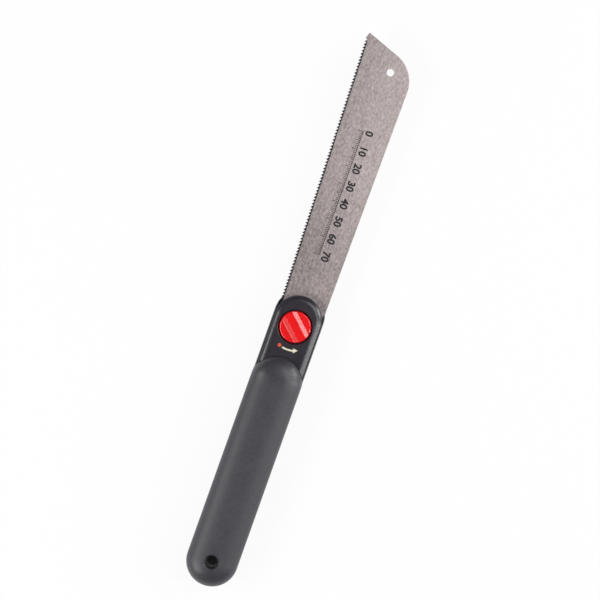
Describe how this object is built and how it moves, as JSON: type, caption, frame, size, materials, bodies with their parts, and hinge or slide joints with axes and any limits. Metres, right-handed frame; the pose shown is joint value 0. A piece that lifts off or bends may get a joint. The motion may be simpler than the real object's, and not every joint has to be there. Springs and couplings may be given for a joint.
{
  "type": "flush cut saw",
  "caption": "Straight-handled pull saw for cutting flush with a surface: thin toothed blade, rubber grip with a hanging hole, and a red knob that clamps the blade.",
  "frame": {"origin": "middle of the hanging hole, in the blade's middle plane", "axes": "+Y along the saw from the butt to the toe, +Z out of the front face with the knob, +X to the blade's back edge"},
  "size_m": [0.0311, 0.3096, 0.021],
  "materials": {
    "core_plastic": "satin",
    "grip_rubber": "matte",
    "cover_plastic": "satin",
    "knob_plastic": "gloss",
    "plated_steel": "zinc plated",
    "blade_steel": "brushed lengthwise"
  },
  "bodies": {
    "handle": {"handle_core": "core_plastic", "grip_sleeve": "grip_rubber", "clamp_nut": "plated_steel"},
    "clamp": {"clamp_cover": "cover_plastic", "thrust_washer": "plated_steel"},
    "knob": {"lock_knob": "knob_plastic", "knob_stud": "plated_steel", "spring_washer": "plated_steel", "retaining_clip": "plated_steel"},
    "blade": {"saw_blade": "blade_steel"}
  },
  "joints": [
    {"name": "clamp_lift", "type": "slide", "parent": "handle", "child": "clamp", "axis": [0, 0, 1], "range_m": [0, 0.0012]},
    {"name": "knob_turn", "type": "hinge", "parent": "clamp", "child": "knob", "pos_m": [0, 0.1334, 0], "axis": [0, 0, 1], "range_deg": [0, 540]},
    {"name": "blade_slide", "type": "slide", "parent": "handle", "child": "blade", "axis": [0, 1, 0], "range_m": [0, 0.035]}
  ],
  "couplings": [
    {"joint": "knob_turn", "follows": "clamp_lift", "rad_per_m": 7853.5}
  ]
}
